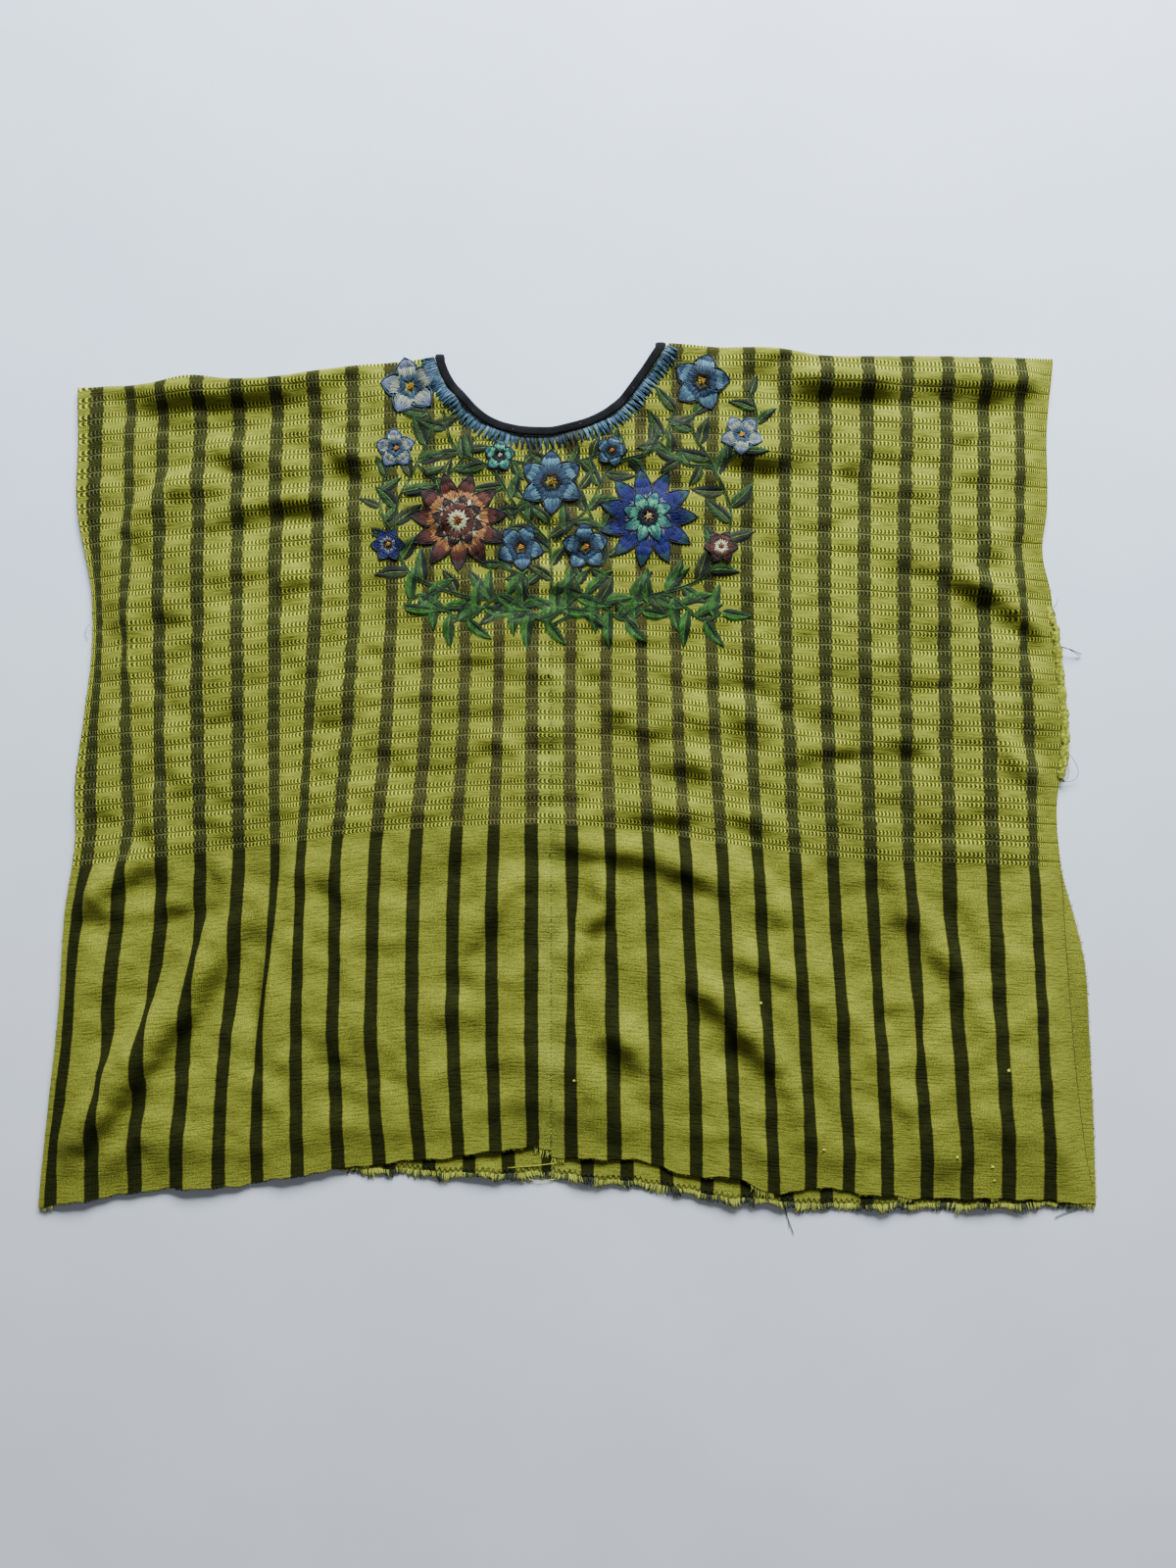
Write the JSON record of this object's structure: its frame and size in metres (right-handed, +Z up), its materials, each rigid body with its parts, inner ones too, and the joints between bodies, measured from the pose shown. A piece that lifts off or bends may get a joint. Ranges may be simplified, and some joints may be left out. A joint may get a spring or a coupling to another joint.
{
  "type": "huipil blouse",
  "caption": "Boxy sleeveless cotton blouse laid flat, with vertical stripes, a centre seam, raw hems and a bound round neck.",
  "frame": {"origin": "centre of the garment's footprint, on the surface that it lies on", "axes": "+X towards the garment's side at the right of its front, as it lies face up, +Y towards the neck, +Z up from the surface"},
  "size_m": [0.8187, 0.6678, 0.0162],
  "materials": {
    "striped_cotton": "handwoven lime cotton with dark green stripes, matte",
    "black_velvet": "black velvet ribbon, matte with a soft nap"
  },
  "bodies": {
    "root": {"panel_left": "striped_cotton", "panel_right": "striped_cotton", "neck_band": "black_velvet"}
  },
  "joints": []
}
